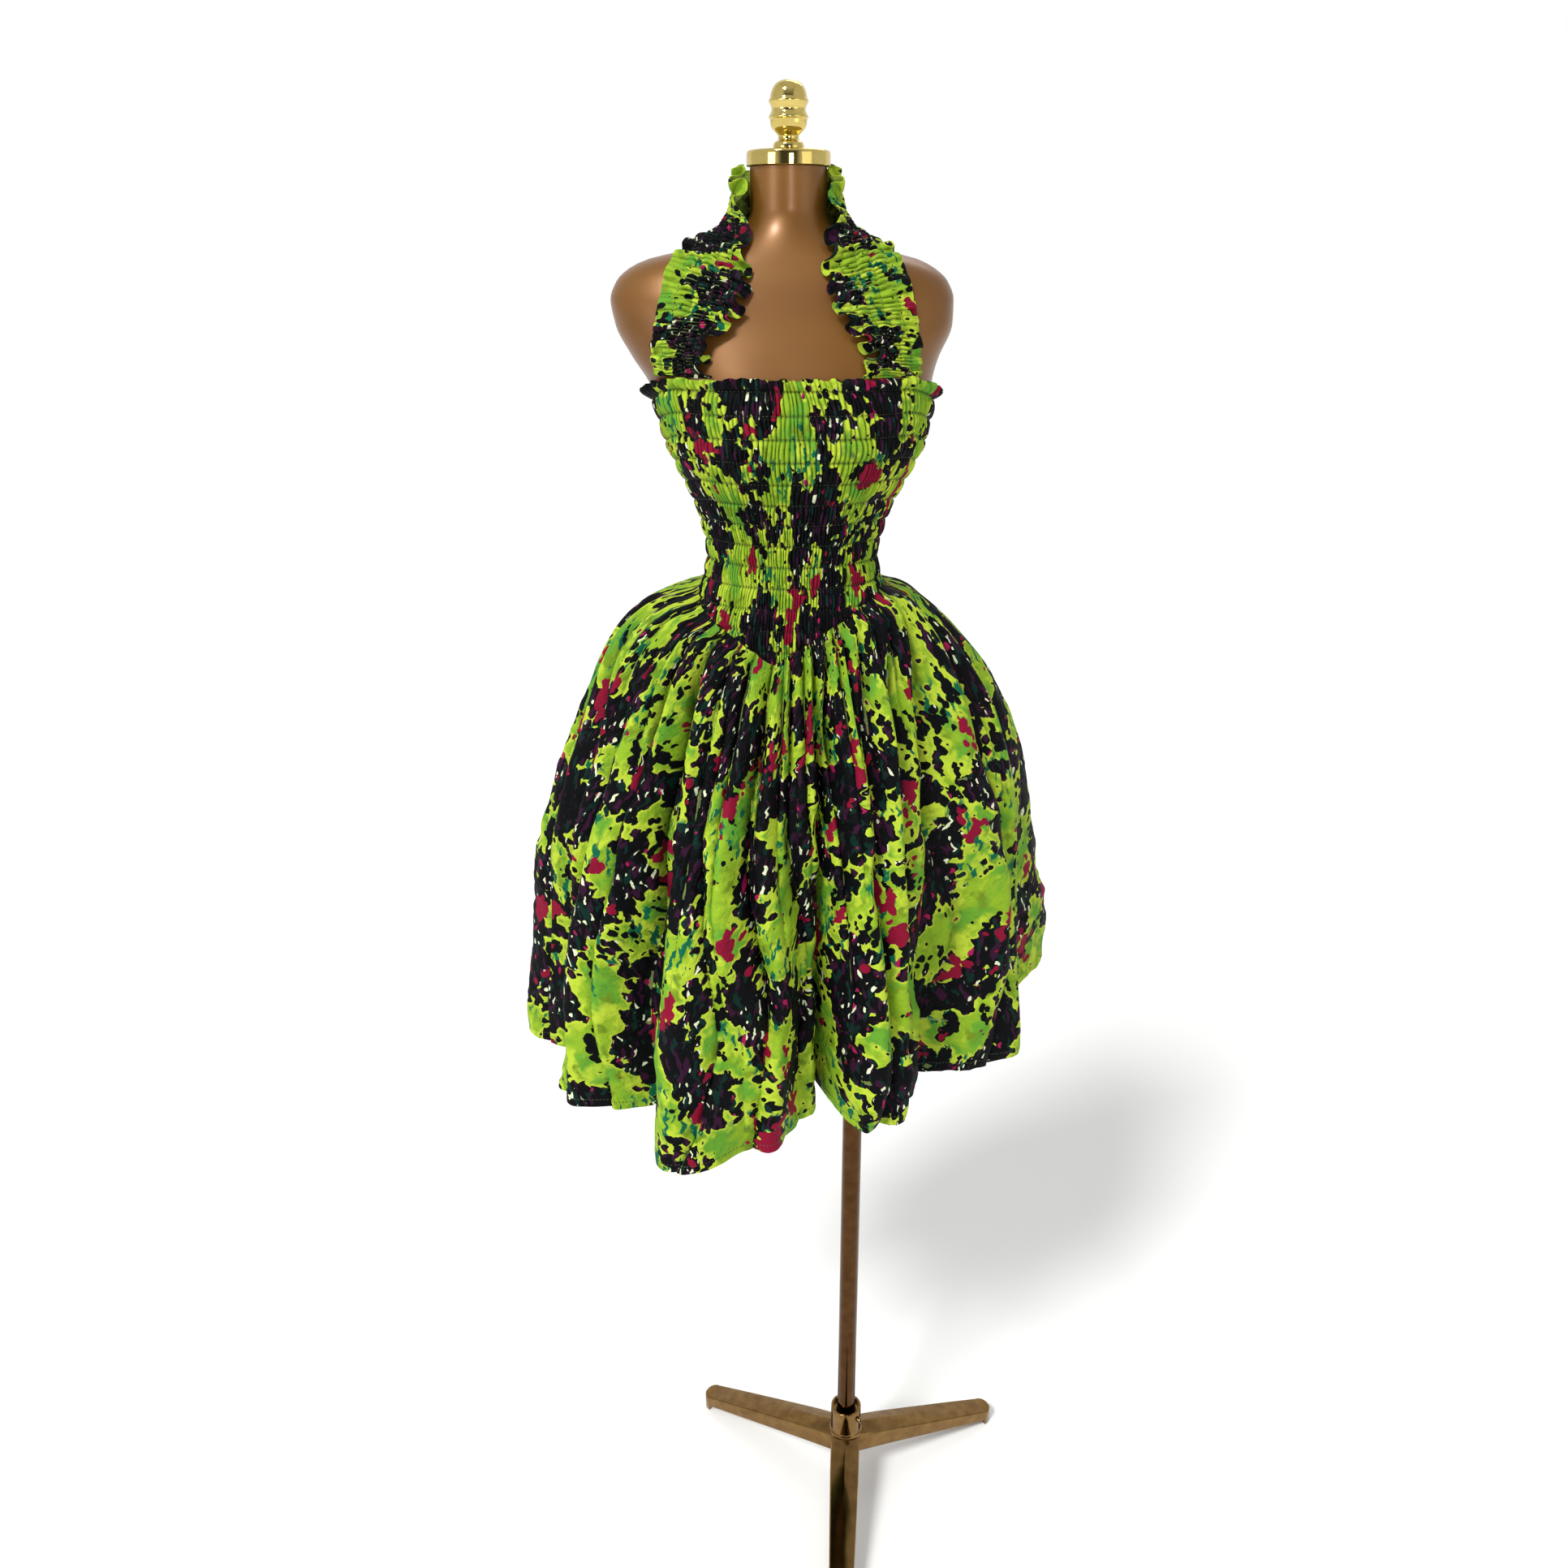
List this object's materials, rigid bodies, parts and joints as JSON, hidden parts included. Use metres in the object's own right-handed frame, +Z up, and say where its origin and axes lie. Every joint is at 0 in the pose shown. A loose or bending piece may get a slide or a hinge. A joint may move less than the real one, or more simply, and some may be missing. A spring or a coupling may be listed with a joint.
{
  "type": "halter neck dress on a dress form stand",
  "caption": "Halter neck dress with shirred bodice, frilled straps and full gathered skirt, worn by a limbless dress form on an off-centre pole stand.",
  "frame": {"origin": "on the floor under the middle of the part's box", "axes": "+Z up along the pole and the form; the front of the dress faces -Y; +X to the viewer's right of the front"},
  "size_m": [0.6823, 0.5311, 1.821],
  "materials": {
    "printed_cotton_bodice": "matte printed cotton, shirred with elastic thread",
    "printed_cotton_strap": "matte printed cotton, shirred with frilled edges",
    "printed_cotton_skirt": "matte printed cotton, crisp, softly creased",
    "bronze_plastic": "satin moulded plastic with a pearl bronze coat",
    "gold_plate": "mirror gold plating",
    "bronze_plate": "polished antique bronze plating"
  },
  "bodies": {
    "root": {"bodice_front": "printed_cotton_bodice", "bodice_back": "printed_cotton_bodice", "strap_left": "printed_cotton_strap", "strap_right": "printed_cotton_strap", "skirt_front": "printed_cotton_skirt", "skirt_back": "printed_cotton_skirt", "torso": "bronze_plastic", "neck_cap": "gold_plate", "finial": "gold_plate", "pole": "bronze_plate", "hub": "bronze_plate", "leg_left": "bronze_plate", "leg_right": "bronze_plate", "leg_front": "bronze_plate", "set_screw": "bronze_plate"}
  },
  "joints": []
}
